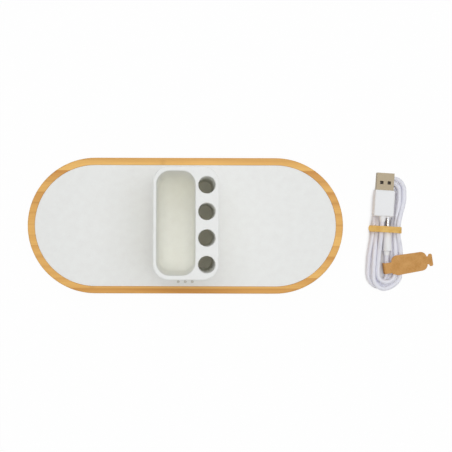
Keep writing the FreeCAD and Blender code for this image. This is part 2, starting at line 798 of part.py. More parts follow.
def main():
    os.makedirs("parts", exist_ok=True)
    export(make_bamboo_ring(), "bamboo_ring")
    export(make_top_plate(), "top_plate")
    export(make_bottom_cover(), "bottom_cover")
    for name, (x, y) in foot_places().items():
        export(make_foot(x, y), "foot_" + name)
    export(make_organizer_block(), "organizer_block")

    z_cover_seat = z_cover_bottom + screw_head_height + head_clearance
    cover_shank = z_cover_top + cover_boss_height - z_cover_seat + screw_engagement
    export(Part.makeCompound([screw(x, y, z_cover_seat, cover_shank) for x, y in boss_places()]), "cover_screws")
    block_shank = plate_thickness + screw_engagement - head_clearance
    block_screws = [screw(x, y, z_plate_bottom, block_shank) for x, y in block_boss_places()]
    export(Part.makeCompound(block_screws), "block_screws")
    turn_over = FreeCAD.Rotation(X_AXIS, 180)
    board_shank = board_thickness + board_standoff - head_clearance
    board_screws = []
    for x, y in board_hole_places():
        piece = screw(0, 0, 0, board_shank)
        piece.Placement = FreeCAD.Placement(V(x, y, z_board_top), turn_over)
        board_screws.append(piece)
    export(Part.makeCompound(board_screws), "board_screws")

    export(make_circuit_board(), "main_circuit_board")
    socket_shell, socket_insulator = make_socket()
    export(socket_shell, "usb_c_socket_shell")
    export(socket_insulator, "usb_c_socket_insulator")
    chip, transistors, inductor, capacitors, leds = make_board_parts()
    export(chip, "controller_chip")
    export(Part.makeCompound(transistors), "power_transistors")
    export(inductor, "power_inductor")
    export(Part.makeCompound(capacitors), "resonance_capacitors")
    export(Part.makeCompound(leds), "indicator_leds")
    export(make_light_guide(), "indicator_light_guide")
    for name, side in (("left", -1), ("right", 1)):
        export(make_coil(side), "charging_coil_" + name)
        z_ferrite = z_plate_bottom - coil_thickness
        ferrite = cylinder(ferrite_diameter, z_ferrite - ferrite_thickness, z_ferrite, side * coil_shift_x)
        export(ferrite, "ferrite_" + name)
        export(make_leads(side), "coil_leads_" + name)

    usb_a_overmold, usb_a_shell, usb_a_insulator = make_usb_a_plug()
    export(usb_a_overmold, "usb_a_overmold")
    export(usb_a_shell, "usb_a_shell")
    export(usb_a_insulator, "usb_a_insulator")
    usb_c_overmold, usb_c_shell = make_usb_c_plug()
    export(usb_c_overmold, "usb_c_overmold")
    export(usb_c_shell, "usb_c_plug_shell")
    export(make_cable_hank(), "cable_hank")
    export(make_cable_tie(), "cable_tie")
    export(make_cable_tag(), "cable_tag")


main()
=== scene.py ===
# %% [markdown]
# # A desk charging station with pen wells and its tied cable
#
# The object is a pill-shaped bamboo frame with a white moulded plate in it, a tall white block
# with a pocket and four pen wells, and a white supply cable wound into a hank beside it.
# The hard pieces arrive as finished solids in one shared frame, in metres, so this script adds
# what a solid can't carry: the finishes, the light, the flexible cord and the paper on it.

# %% Load the frame
import math

import bpy
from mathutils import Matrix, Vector


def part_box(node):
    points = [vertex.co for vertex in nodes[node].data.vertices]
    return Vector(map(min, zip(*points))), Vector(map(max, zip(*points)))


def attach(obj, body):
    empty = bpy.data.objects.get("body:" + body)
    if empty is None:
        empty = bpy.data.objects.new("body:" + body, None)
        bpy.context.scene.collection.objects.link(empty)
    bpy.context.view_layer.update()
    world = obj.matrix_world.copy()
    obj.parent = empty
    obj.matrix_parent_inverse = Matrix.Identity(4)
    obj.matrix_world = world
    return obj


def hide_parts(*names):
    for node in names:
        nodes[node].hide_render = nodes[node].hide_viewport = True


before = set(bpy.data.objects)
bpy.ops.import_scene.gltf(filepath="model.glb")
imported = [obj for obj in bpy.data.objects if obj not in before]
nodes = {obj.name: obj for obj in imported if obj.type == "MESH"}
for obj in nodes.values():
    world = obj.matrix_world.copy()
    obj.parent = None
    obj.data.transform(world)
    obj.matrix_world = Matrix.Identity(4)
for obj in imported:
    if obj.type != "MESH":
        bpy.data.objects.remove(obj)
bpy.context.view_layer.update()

MM = 0.001
scene = bpy.context.scene

# %% [markdown]
# ## Colours and nodes
#
# Colours are written as the hex values that a paint program shows and turned to the linear values
# that a renderer adds up. A shader is a small network, so one function adds a node, sets it up and
# links it. Two more start a material and link what varies over it. Doing it by hand in the editor
# would be the same work, but it couldn't be read here.

# %% Helpers for finishes


def linear(hex_colour):
    """Linear colour of an sRGB hex value such as #E1B375."""
    parts = [int(hex_colour[i:i + 2], 16) / 255 for i in (1, 3, 5)]
    return tuple(c / 12.92 if c <= 0.04045 else ((c + 0.055) / 1.055) ** 2.4 for c in parts) + (1.0,)


def add(tree, kind, inputs=None, **settings):
    """One shader node: settings are its properties, inputs are values, nodes or sockets."""
    node = tree.nodes.new("ShaderNode" + kind)
    for name, value in settings.items():
        setattr(node, name, value)
    for name, value in (inputs or {}).items():
        socket = [s for s in node.inputs if s.enabled and name in (s.identifier, s.name)][0]
        if isinstance(value, bpy.types.Node):
            value = [s for s in value.outputs if s.enabled][0]
        if isinstance(value, bpy.types.NodeSocket):
            tree.links.new(value, socket)
        else:
            socket.default_value = value
    return node


def finish(name, **constants):
    """A material with its main shader, and the values that are the same all over it."""
    material = bpy.data.materials.new(name)
    material.use_nodes = True
    shader = material.node_tree.nodes["Principled BSDF"]
    for socket, value in constants.items():
        shader.inputs[socket.replace("_", " ")].default_value = value
    return material, material.node_tree, shader


def paint(tree, shader, **sources):
    """Links what varies over the surface to the shader's sockets."""
    for socket, source in sources.items():
        out = [s for s in source.outputs if s.enabled][0]
        tree.links.new(out, shader.inputs[socket.replace("_", " ")])


print("white turns to", linear("#FFFFFF"))

# %% [markdown]
# ## The camera
#
# The picture was taken from straight above, so a round pen well shows its floor only where the lens
# looks down it, and the tall block spreads away from the point under the lens. That spread gives the
# height of the lens, about 0.6 m over the base. The lens shift slides the frame sideways, as a
# cropped picture does, and keeps the camera square over the station.

# %% Camera over the station
PICTURE = 452
PIXEL_SIZE = 0.6998 * MM  # at the height of the frame's top
STATION_AT = (185.35, 225.7)  # the station's middle in the picture, in pixels
LENS_OVER = (-2.8, -1.1)  # the place under the lens, in mm from the station's middle
LENS_HEIGHT = 0.605
CAMERA_TURN = 0.15  # degrees
SENSOR = 36.0
ring_low, ring_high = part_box("bamboo_ring")

camera_data = bpy.data.cameras.new("camera")
camera_data.sensor_width = SENSOR
camera_data.lens = SENSOR / PICTURE * (LENS_HEIGHT - ring_high[2]) / PIXEL_SIZE
camera_data.shift_x = 0.5 - (STATION_AT[0] + LENS_OVER[0] * MM / PIXEL_SIZE) / PICTURE
camera_data.shift_y = (STATION_AT[1] - LENS_OVER[1] * MM / PIXEL_SIZE) / PICTURE - 0.5
camera = bpy.data.objects.new("camera", camera_data)
camera.location = (LENS_OVER[0] * MM, LENS_OVER[1] * MM, LENS_HEIGHT)
camera.rotation_euler = (0, 0, math.radians(CAMERA_TURN))
scene.collection.objects.link(camera)
scene.camera = camera
print("lens", round(camera_data.lens, 1), "mm")
print("shift", round(camera_data.shift_x, 4), round(camera_data.shift_y, 4))

# %% [markdown]
# ## The floor
#
# A product picture on white stands on a plain pale sheet. A floor that only reflects light would be
# grey wherever the lamps are weak, so to the lens this one shows mostly its own white, and the rest is
# matt. It turns up far away on all four sides, so a low view meets no horizon.

# %% Sheet under the object
FLOOR_SIZE = 14.0
BACKDROP_HEIGHT = 2.5
UNDER_FEET = 0.1

corners = [(x * FLOOR_SIZE / 2, y * FLOOR_SIZE / 2) for x, y in ((-1, -1), (1, -1), (1, 1), (-1, 1))]
turned_up = [(i, (i + 1) % 4, (i + 1) % 4 + 4, i + 4) for i in range(4)]
sheet = bpy.data.meshes.new("floor")
sheet.from_pydata([(x, y, z) for z in (0.0, BACKDROP_HEIGHT) for x, y in corners], [],
                  [(0, 1, 2, 3)] + turned_up)
floor = bpy.data.objects.new("floor", sheet)
scene.collection.objects.link(floor)
floor.location.z = -UNDER_FEET * MM
print("floor and backdrop:", len(sheet.polygons), "faces")

# %% White of the sheet
OWN_WHITE = 0.97
# How far the occlusion mask looks, and at what openness it starts and stops painting shade on the sheet.
CREVICE = 8.0
CREVICE_SHUT, CREVICE_OPEN = 0.36, 0.6
CREVICE_RAYS = 16

# Uncoated paper has no shine at all, so only its white and soft shadows are seen.
sheet_white = bpy.data.materials.new("matt white paper sheet")
sheet_white.use_nodes = True
tree = sheet_white.node_tree
tree.nodes.clear()
rays = add(tree, "LightPath")
seen = rays.outputs["Is Camera Ray"]
for other in ("Is Glossy Ray", "Is Transmission Ray"):
    seen = add(tree, "Math", {"Value": seen, "Value_001": rays.outputs[other]}, operation="MAXIMUM")
share = add(tree, "Math", {"Value": seen, "Value_001": OWN_WHITE}, operation="MULTIPLY")
# Deep between the cord's runs an occlusion mask takes the sheet's own white away as painted shade, and the
# rest is the real shade that the light leaves there.
open_to_light = add(tree, "AmbientOcclusion", {"Distance": CREVICE * MM}, samples=CREVICE_RAYS)
open_to_light = add(tree, "MapRange", {"Value": open_to_light.outputs["AO"], "From Min": CREVICE_SHUT,
                                 "From Max": CREVICE_OPEN})
share = add(tree, "Math", {"Value": share, "Value_001": open_to_light}, operation="MULTIPLY")
matt = add(tree, "BsdfDiffuse", {"Color": linear("#F7F7F7")})
glow = add(tree, "Emission", {"Color": linear("#FFFFFF"), "Strength": 1.0})
both = add(tree, "MixShader", {"Fac": share, "Shader": matt, "Shader_001": glow})
add(tree, "OutputMaterial", {"Surface": both})
sheet.materials.append(sheet_white)
print("floor wears", sheet_white.name)

# %% [markdown]
# ## The light
#
# The object is lit from high over the table. A wide soft box hangs a little behind it and to its
# right, so the block has a thin shade at its left and front, and a small box straight overhead reaches
# down into the wells. A lamp low at the side would fill the pocket with shadow.

# %% Room and soft boxes
ROOM_LEVEL = 0.432
# Place, sides, power and colour of each box: the small one is warmer, which shows deep in the wells.
SOFT_BOXES = {"wide_box": ((0.16, 0.28, 1.6), (1.7, 1.0), 11.45, "#E9F0FF"),
              "top_box": ((0.02, 0.04, 1.6), (0.4, 0.4), 2.47, "#FFF8D3")}
# White walls hand the light on many times before it is used up in the pocket and the wells.
WALL_TO_WALL = 12

world = bpy.data.worlds.new("studio")
world.use_nodes = True
room = world.node_tree.nodes["Background"]
room.inputs["Color"].default_value = linear("#FFFFFF")
room.inputs["Strength"].default_value = ROOM_LEVEL
scene.world = world
for name, (at, sides, power, tint) in SOFT_BOXES.items():
    lamp_data = bpy.data.lights.new(name, "AREA")
    lamp_data.shape = "RECTANGLE"
    lamp_data.size, lamp_data.size_y = sides
    lamp_data.color = linear(tint)[:3]
    lamp_data.energy = power
    lamp = bpy.data.objects.new(name, lamp_data)
    lamp.location = at
    lamp.rotation_euler = (-Vector(at)).to_track_quat("-Z", "Y").to_euler()
    scene.collection.objects.link(lamp)
scene.view_settings.view_transform = "Standard"
scene.cycles.diffuse_bounces = WALL_TO_WALL
print("soft boxes:", sorted(SOFT_BOXES))

# %% [markdown]
# ## The supply cord
#
# The cord is a soft round lead wound into a figure of long runs and round ends, with the small plug
# caught in its middle and the large plug lying on top. A row of separate rings would never look
# wound, so it is one smooth line: each run has four stops, each end half an octagon, and a loop counts
# the half turns out through the lower layer and back in through the upper one. The runs are pinched
# at the tie and fan out where nothing holds them.

# %% Runs of the hank
CORD_DIAMETER = 3.2
HANK_X = 142.3
FIRST_HALF_TURN, LAST_HALF_TURN = 2, 10
MIDDLE_HALF_TURN = (FIRST_HALF_TURN + LAST_HALF_TURN) / 2
HANK_INNER = 3.8
HANK_STEP = 3.2
OUTER_NESTS = 1.3
LAYERS = (2.7, 6.1)
# Stops of a run from the front: place along Y, sideways skew, spread of the left and of the right
# runs, how far the upper layer lies to the right, and the share of a loose run's own shift.
RUN_STOPS = ((-29.5, -1.8, 1.1, 1.22, 2.0, 1.0), (-18.0, -0.6, 1.14, 1.18, 1.8, 1.0),
             (-2.0, 0.6, 1.0, 1.0, 0.6, 0.0), (17.5, 3.9, 1.25, 1.05, 0.4, 0.0))
LOOSE_RUN = {2: 0.6, 4: 0.4, 8: -0.8, 10: -1.1}
# Where the strap pulls the runs together, at the third stop: their shift sideways and up.
WAIST = 2
PULLED_IN = {3: (-1.0, 0.0), 5: (-1.7, 0.0), 6: (0.6, 0.0), 7: (-2.6, 3.6)}


def run_offset(half_turn):
    """Distance of a run from the hank's middle: out to the middle half turn, then in again."""
    turns_left = (LAST_HALF_TURN - FIRST_HALF_TURN) / 2 - abs(half_turn - MIDDLE_HALF_TURN)
    nested = OUTER_NESTS if half_turn == MIDDLE_HALF_TURN else 0.0
    return HANK_INNER + HANK_STEP * turns_left / 2 - nested


def run_points(half_turn):
    """Four stops of one run in the order of travel: even half turns go up the left side."""
    left = half_turn % 2 == 0
    low = LAYERS[0] if half_turn <= MIDDLE_HALF_TURN else LAYERS[1]
    high = LAYERS[0] if half_turn < MIDDLE_HALF_TURN else LAYERS[1]
    points = []
    for step, (y, skew, spread_left, spread_right, lean, loose) in enumerate(RUN_STOPS):
        x = -run_offset(half_turn) * spread_left if left else run_offset(half_turn) * spread_right
        z = low + (high - low) * step / (len(RUN_STOPS) - 1)
        if half_turn > MIDDLE_HALF_TURN:
            x += lean
        x += skew + loose * LOOSE_RUN.get(half_turn, 0.0)
        sideways, up = PULLED_IN.get(half_turn, (0.0, 0.0)) if step == WAIST else (0.0, 0.0)
        points.append((HANK_X + x + sideways, y, z + up))
    return points if left else points[::-1]


print("runs:", LAST_HALF_TURN - FIRST_HALF_TURN + 1)

# %% Ends of the hank
END_REACH = 5.7
LOOSE_REACH = {8: 2.2, 9: 2.0, 7: 2.4, 6: -0.6}  # how much further out the loose ends lie
HANG_BACK = 0.82  # share of an end's reach at the corner that hangs back
OCTAGON = math.tan(math.pi / 8)  # half a side of an octagon one unit from its middle


def end_corners(last, first, half_turn):
    """Corners of a round end, half an octagon, from one run's last stop to the next run's first."""
    upper = last[1] > 0
    offset = run_offset(half_turn - 0.5)
    looseness = (offset - HANK_INNER) / (run_offset(MIDDLE_HALF_TURN) - HANK_INNER)
    reach = offset + END_REACH + LOOSE_REACH.get(half_turn, 0.0)
    middle = (last[0] + first[0]) / 2
    half = abs(last[0] - middle)
    corners = []
    for x in (last[0], first[0]):
        hangs_back = (x < middle) == upper
        out = reach * (1 - (1 - HANG_BACK) * looseness if hangs_back else 1.0)
        steps = [(x, out - half * (1 + OCTAGON)), (x, out - half * (1 - OCTAGON)),
                 (middle + (x - middle) * OCTAGON, out)]
        if steps[0][1] < CORD_DIAMETER / 2:
            steps = steps[1:]
        side = [(px, last[1] + (d if upper else -d), last[2]) for px, d in steps]
        corners += side if x == last[0] else side[::-1]
    return corners


print("an octagon's half side is", round(OCTAGON, 3))

# %% Route from plug to plug
USB_C_END = (HANK_X + 1.0, -20.6, 6.3)
USB_A_END = (HANK_X - 3.6, 3.0, 12.1)
USB_A_TURN = math.radians(-3.5)
INTO_PLUG = 1.5
USB_C_STRAIGHT, USB_C_SAG = 5.0, 0.6
USB_A_STRAIGHT = 6.0
FIRST_FOLD = (HANK_X + 1.7, -30.0, LAYERS[0])

route = [(USB_C_END[0], USB_C_END[1] + INTO_PLUG, USB_C_END[2]),
         (USB_C_END[0], USB_C_END[1] - USB_C_STRAIGHT, USB_C_END[2] - USB_C_SAG), FIRST_FOLD]
for half_turn in range(FIRST_HALF_TURN, LAST_HALF_TURN + 1):
    run = run_points(half_turn)
    route += end_corners(route[-1], run[0], half_turn)
    # The last run turns off half way, towards the large plug.
    route += run if half_turn < LAST_HALF_TURN else run[:2]
into_plug = (-math.sin(USB_A_TURN), math.cos(USB_A_TURN))
for d in (-USB_A_STRAIGHT, INTO_PLUG):
    route.append((USB_A_END[0] + into_plug[0] * d, USB_A_END[1] + into_plug[1] * d, USB_A_END[2]))
route.reverse()
print("route points:", len(route))

# %% Cord on the route
CORD_STEPS, CORD_ROUND = 10, 5


def smooth_curve(name, controls, steps):
    """A curve with the one smooth line that these control points, in mm, pull into shape."""
    curve = bpy.data.curves.new(name, "CURVE")
    curve.dimensions = "3D"
    curve.resolution_u = steps
    spline = curve.splines.new("NURBS")
    spline.points.add(len(controls) - 1)
    for point, place in zip(spline.points, controls):
        point.co = (*(Vector(place) * MM), 1.0)
    spline.order_u = 3
    spline.use_endpoint_u = True
    return curve, spline


line, spline = smooth_curve("supply_cord", route, CORD_STEPS)
line.bevel_resolution = CORD_ROUND
line.use_fill_caps = True
# The radius is on the points, in metres, so the curve's own box is no larger than the cord.
line.bevel_depth = 1.0
for point in spline.points:
    point.radius = CORD_DIAMETER / 2 * MM
cord = bpy.data.objects.new("supply_cord", line)
scene.collection.objects.link(cord)
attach(cord, "supply_cable")
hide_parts("cable_hank")
print("cord length", round(spline.calc_length(), 4), "m")

# %% [markdown]
# ## The strap round the hank
#
# A narrow kraft strap holds the hank at its waist: it goes once round everything, and its rounded tip
# lies on top and points to the left. A plain ring would hide where the strap ends, so the strap is a
# ribbon laid along a smooth line, narrowed at the tip and given its thickness at the end.

# %% Paper in rows
ACROSS = 6
BEVEL_STEPS = 2


def smooth_line(controls, steps=8):
    """Points along the smooth line of these control points, in mm."""
    curve = smooth_curve("guide", controls, steps)[0]
    holder = bpy.data.objects.new("guide", curve)
    mesh = bpy.data.meshes.new_from_object(holder)
    points = [v.co.copy() for v in mesh.vertices]
    bpy.data.objects.remove(holder)
    bpy.data.curves.remove(curve)
    bpy.data.meshes.remove(mesh)
    return points


def row_faces(rows, turned_over):
    """Faces between neighbouring rows of points, ACROSS of them to a row."""
    faces = []
    for first in (row * (ACROSS + 1) + j for row in range(rows - 1) for j in range(ACROSS)):
        face = (first, first + 1, first + ACROSS + 2, first + ACROSS + 1)
        faces.append(face[:1] + face[:0:-1] if turned_over else face)
    return faces


def paper_piece(name, rows, turned_over, thickness, node, bevel):
    """A sheet of paper through rows of points, with its thickness, in place of one of the cable's solids."""
    mesh = bpy.data.meshes.new(name)
    mesh.from_pydata([point for row in rows for point in row], [], row_faces(len(rows), turned_over))
    mesh.update()
    piece = bpy.data.objects.new(name, mesh)
    scene.collection.objects.link(piece)
    body = piece.modifiers.new("thickness", "SOLIDIFY")
    body.thickness = thickness * MM
    body.offset = -1.0
    edges = piece.modifiers.new("cut edges", "BEVEL")
    edges.width = bevel * MM
    edges.segments = BEVEL_STEPS
    edges.limit_method = "ANGLE"
    for face in mesh.polygons:
        face.use_smooth = True
    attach(piece, "supply_cable")
    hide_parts(node)
    return piece


print("a row of paper has", ACROSS + 1, "points")

# %% Strap
STRAP_WIDTH = 4.4
STRAP_THICKNESS = 0.6
STRAP_BEVEL = 0.15
STRAP_Y = -2.2
STRAP_FALL = 0.06
TIP_LEFT = -12.8
TIP_FLAT, TIP_SHAPE = 0.1, 2.6
# Line of the strap across the hank, from its tip: sideways from the hank's middle, and height.
STRAP_LINE = ((TIP_LEFT, 10.2), (-8.6, 11.8), (-5.0, 15.0), (-1.0, 15.6), (4.0, 13.8), (8.0, 12.4),
              (10.6, 9.8), (10.5, 0.9), (8.4, 0.7), (-8.6, 0.7), (-10.0, 0.9), (-9.9, 6.5),
              (-8.4, 9.8), (-6.0, 12.4))
line_points = smooth_line([(HANK_X + x, 0.0, z) for x, z in STRAP_LINE])
strap_rows = []
walked = 0.0
for i, point in enumerate(line_points):
    walked += (point - line_points[i - 1]).length / MM if i else 0.0
    half = STRAP_WIDTH / 2
    if walked < half:
        half *= max(TIP_FLAT, 1 - (1 - walked / half) ** TIP_SHAPE) ** (1 / TIP_SHAPE)
    middle = STRAP_Y - STRAP_FALL * (point.x / MM - HANK_X)
    strap_rows.append([(point.x, (middle + half * (2 * j / ACROSS - 1)) * MM, point.z)
                       for j in range(ACROSS + 1)])
strap = paper_piece("kraft_strap", strap_rows, False, STRAP_THICKNESS, "cable_tie", STRAP_BEVEL)
print("strap:", len(strap_rows), "rows,", round(walked, 1), "mm long")

# %% [markdown]
# ## The tag
#
# A die-cut kraft tag hangs on the cord: its tail is hooked round one strand, its body has wide round
# corners, and it ends in a neck with a cross bar. Cut from one flat sheet, it never lies quite flat,
# so its outline is filled row by row and lifted in a slight curl. A flat extrusion would look stiff.

# %% Outline of the tag
TAG_TAIL, TAG_BODY, TAG_NECK, TAG_BAR = 4.4, 25.0, 1.2, 2.6
TAIL_HALF, BODY_HALF, NECK_HALF, BAR_HALF = 3.8, 6.6, 2.8, 4.4
TAG_CORNER, BAR_CORNER = 4.2, 0.9
TAG_TAPER = 1.0
TAG_RISE = 1.6
body_end = TAG_TAIL + TAG_BODY
bar_start = body_end + TAG_NECK
tag_length = TAG_TAIL + TAG_BODY + TAG_NECK + TAG_BAR


def rounded_half(x, start, end, half, corner):
    """Half width of a rounded rectangle from start to end."""
    near = min(x - start, end - x)
    if near >= corner:
        return half
    return half - corner + math.sqrt(max(0.0, corner ** 2 - (corner - near) ** 2))


def tag_edges(x):
    """Near and far edge of the tag's outline, at x mm from its tail."""
    shapes = []
    if x <= TAG_TAIL + TAG_CORNER / 2:
        shapes.append((TAIL_HALF, 0.0))
    if TAG_TAIL <= x <= body_end:
        shapes.append((rounded_half(x, TAG_TAIL, body_end, BODY_HALF, TAG_CORNER), TAG_RISE))
    if body_end - TAG_CORNER / 2 <= x <= bar_start + BAR_CORNER:
        shapes.append((NECK_HALF, TAG_RISE))
    if bar_start <= x:
        shapes.append((rounded_half(x, bar_start, bar_start + TAG_BAR, BAR_HALF, BAR_CORNER), TAG_RISE))
    wider = TAG_TAPER * (1 - (x - TAG_TAIL) / TAG_BODY) if TAG_TAIL <= x <= body_end else 0.0
    low = min(middle - half for half, middle in shapes) - wider
    high = max(middle + half for half, middle in shapes)
    return low, high


print("tag:", round(tag_length, 1), "mm long")

# %% Tag on its strand
TAG_AT = (HANK_X, -30.0, 8.9)
TAG_TILT = math.radians(8.5)
TAG_THICKNESS = 0.5
TAG_BEVEL = 0.08
TAG_CURL = 0.9
HOOK_DEPTH, HOOK_BEND = 6.4, 1.2
HOOK_UNDER, HOOK_OVER, HOOK_STEPS = 2.4, 2.0, 6
FLAT_FROM, FLAT_ROWS = 2.5, 60
CORNER_ROWS = 8
STEP_WIDTH = 0.02  # two rows so close together make a square step in the outline

hook = smooth_line([(HOOK_UNDER, 0, -HOOK_DEPTH), (-HOOK_BEND, 0, -HOOK_DEPTH),
                    (-HOOK_BEND, 0, -HOOK_DEPTH / 2), (-HOOK_BEND, 0, 0), (HOOK_OVER, 0, 0)], HOOK_STEPS)
# Rows lie evenly along the tag, and closer where its corners and steps are.
along = {FLAT_FROM + i * (tag_length - FLAT_FROM) / FLAT_ROWS for i in range(FLAT_ROWS + 1)}
along |= {edge + d for edge in (TAG_TAIL, body_end, bar_start) for d in (0.0, STEP_WIDTH)}
for i in range(CORNER_ROWS + 1):
    inwards = TAG_CORNER * (1 - math.cos(i * math.pi / (2 * CORNER_ROWS)))
    along |= {TAG_TAIL + inwards, body_end - inwards}
stops = [(p.x / MM, p.z / MM, -TAIL_HALF, TAIL_HALF) for p in hook]
stops += [(x, TAG_CURL * (x / tag_length) ** 2, *tag_edges(x)) for x in sorted(along) if x <= tag_length]
along_x, along_y = math.cos(TAG_TILT), math.sin(TAG_TILT)
tag_rows = []
for x, z, low, high in stops:
    widths = [low + (high - low) * j / ACROSS for j in range(ACROSS + 1)]
    tag_rows.append([tuple(Vector((TAG_AT[0] + x * along_x - y * along_y,
                                   TAG_AT[1] + x * along_y + y * along_x, TAG_AT[2] + z)) * MM)
                     for y in widths])
tag = paper_piece("kraft_tag", tag_rows, True, TAG_THICKNESS, "cable_tag", TAG_BEVEL)
print("tag:", len(tag_rows), "rows")

# %% [markdown]
# ## Bamboo for the frame
#
# The frame is cut from a board of bamboo strips glued side by side and stood on edge, so the strips
# run along the station: on the straights one glue line follows the frame, and round the ends the
# strips cross it as bands. A picture of wood could not follow that, but the place in the board can:
# the strip number comes from Y, the fibres run along X, and only faces cut across show pores.

# %% Strips of the board
STRIP_WIDTH = 7.5
STRIP_EDGE_Y = 46.1
BOARD = 480.0  # shifts the chances of every strip, as if the frame were cut from another board

# Sanded and oiled bamboo is a warm yellow with a low sheen, and no two strips have the same tone.
bamboo, tree, shader = finish("laminated bamboo, sanded and oiled", IOR=1.5, Specular_IOR_Level=0.3)
place = add(tree, "TexCoord").outputs["Object"]
axes = add(tree, "SeparateXYZ", {"Vector": place})
strip = add(tree, "Math", {"Value": axes.outputs["Y"], "Value_001": 1 / (STRIP_WIDTH * MM),
                           "Value_002": -STRIP_EDGE_Y / STRIP_WIDTH}, operation="MULTIPLY_ADD")
number = add(tree, "Math", {"Value": strip}, operation="FLOOR")
number = add(tree, "Math", {"Value": number, "Value_001": BOARD}, operation="ADD")
chance = add(tree, "TexWhiteNoise", {"W": number}, noise_dimensions="1D")
across = add(tree, "Math", {"Value": strip}, operation="FRACT")
print("bamboo strips across the frame:", round((ring_high[1] - ring_low[1]) / (STRIP_WIDTH * MM), 1))

# %% Fibres and tone of a strip
FIBRE_LENGTH, FIBRE_WIDTH = 60.0, 0.7
CANE_LENGTH, CANE_WIDTH = 70.0, 6.0
# Parts of a strip's tone: its own chance, its cane, its fibres, and the place across it.
CHANCE_PART, CANE_PART, FIBRE_PART, ACROSS_PART = 0.55, 0.7, 0.55, 0.22
PALEST_AT = 0.66

# The fibres are long thin streaks that start anew in each strip.
stretched = add(tree, "VectorMath", {"Vector": place, "Vector_001": (
    1 / (FIBRE_LENGTH * MM), 1 / (FIBRE_WIDTH * MM), 1 / (FIBRE_WIDTH * MM))}, operation="MULTIPLY")
fibres = add(tree, "TexNoise", {"Vector": stretched, "W": number, "Scale": 1.0, "Detail": 3.0,
                                "Roughness": 0.6}, noise_dimensions="4D")
# Slower changes of tone along a cane leave no two strips alike.
drawn = add(tree, "VectorMath", {"Vector": place, "Vector_001": (
    1 / (CANE_LENGTH * MM), 1 / (CANE_WIDTH * MM), 1 / (CANE_WIDTH * MM))}, operation="MULTIPLY")
canes = add(tree, "TexNoise", {"Vector": drawn, "W": number, "Scale": 1.0, "Detail": 1.0},
            noise_dimensions="4D")
tone = add(tree, "MapRange", {"Value": chance, "To Min": 0.0, "To Max": CHANCE_PART})
for source, part in ((canes, CANE_PART), (fibres, FIBRE_PART), (across, ACROSS_PART)):
    tone = add(tree, "Math", {"Value": source, "Value_001": part, "Value_002": tone},
               operation="MULTIPLY_ADD")
tone = add(tree, "Math", {"Value": tone, "Value_001": PALEST_AT}, operation="SUBTRACT", use_clamp=True)
wood = add(tree, "Mix", {"Factor": tone, "A": linear("#FFC972"), "B": linear("#D0883A")},
           data_type="RGBA")
print("fibres", FIBRE_WIDTH, "mm wide")

# %% Knuckles and glue lines
KNUCKLE_PITCH, KNUCKLE_HALF = 170.0, 3.5
KNUCKLE_STRENGTH = 0.16
GLUE_LINE = 1.8  # really 0.1 mm, drawn wider and fainter so that it shows
GLUE_STRENGTH = 0.2

# A knuckle of the cane is a darker band at its own place in each strip.
cane = add(tree, "Math", {"Value": axes.outputs["X"], "Value_001": 1 / (KNUCKLE_PITCH * MM),
                          "Value_002": chance}, operation="MULTIPLY_ADD")
knuckle = add(tree, "Math", {"Value": cane, "Value_001": 1.0}, operation="PINGPONG")
knuckle = add(tree, "MapRange", {"Value": knuckle, "From Min": 0.0, "To Min": KNUCKLE_STRENGTH, "To Max": 0.0,
                                 "From Max": KNUCKLE_HALF / KNUCKLE_PITCH}, interpolation_type="SMOOTHSTEP")
wood = add(tree, "Mix", {"Factor": knuckle, "A": wood, "B": linear("#A8692C")}, data_type="RGBA")
# Of the glue lines between the strips, some are tight and some open.
edge = add(tree, "Math", {"Value": strip, "Value_001": 0.5}, operation="PINGPONG")
edge = add(tree, "MapRange", {"Value": edge, "From Min": 0.0, "From Max": GLUE_LINE / STRIP_WIDTH,
                              "To Min": 1.0, "To Max": 0.0}, interpolation_type="SMOOTHSTEP")
joint = add(tree, "Math", {"Value": strip, "Value_001": BOARD + 0.5}, operation="ADD")
joint = add(tree, "Math", {"Value": joint}, operation="FLOOR")
joint = add(tree, "TexWhiteNoise", {"W": joint}, noise_dimensions="1D")
joint = add(tree, "MapRange", {"Value": joint, "To Min": 0.0, "To Max": GLUE_STRENGTH})
edge = add(tree, "Math", {"Value": edge, "Value_001": joint}, operation="MULTIPLY")
wood = add(tree, "Mix", {"Factor": edge, "A": wood, "B": linear("#9A6126")}, data_type="RGBA")
print("knuckles every", KNUCKLE_PITCH, "mm")

# %% Pores and sheen
PORE = 0.9
PORE_CORE, PORE_EDGE, PORE_STRENGTH = 0.15, 0.4, 0.6
CUT_STARTS, CUT_FULL = 0.35, 0.9

# Pores show only where the frame's outside cuts across the fibres.
cells = add(tree, "TexVoronoi", {"Vector": place, "Scale": 1 / (PORE * MM)})
pores = add(tree, "MapRange", {"Value": cells.outputs["Distance"], "From Min": PORE_CORE,
                               "From Max": PORE_EDGE, "To Min": PORE_STRENGTH, "To Max": 0.0})
facing = add(tree, "SeparateXYZ", {"Vector": add(tree, "NewGeometry").outputs["Normal"]})
cut_across = add(tree, "Math", {"Value": facing.outputs["X"]}, operation="ABSOLUTE")
cut_across = add(tree, "MapRange", {"Value": cut_across, "From Min": CUT_STARTS, "From Max": CUT_FULL},
                 interpolation_type="SMOOTHSTEP")
pores = add(tree, "Math", {"Value": pores, "Value_001": cut_across}, operation="MULTIPLY")
wood = add(tree, "Mix", {"Factor": pores, "A": wood, "B": linear("#8A5724")}, data_type="RGBA")
sheen = add(tree, "MapRange", {"Value": fibres, "To Min": 0.42, "To Max": 0.62})
relief = add(tree, "Bump", {"Height": fibres, "Strength": 0.25, "Distance": 0.1 * MM})
paint(tree, shader, Base_Color=wood, Roughness=sheen, Normal=relief)
print("bamboo has", len(tree.nodes), "nodes")

# %% [markdown]
# ## White ABS
#
# The plate, the block and the cover are moulded in white ABS from a mould with a fine spark-eroded
# texture: matt, faintly mottled, and free of sharp reflections. A plain white would look like paper,
# so a grit lifts the surface and a slow cloud shifts its tone by about one step in a hundred.

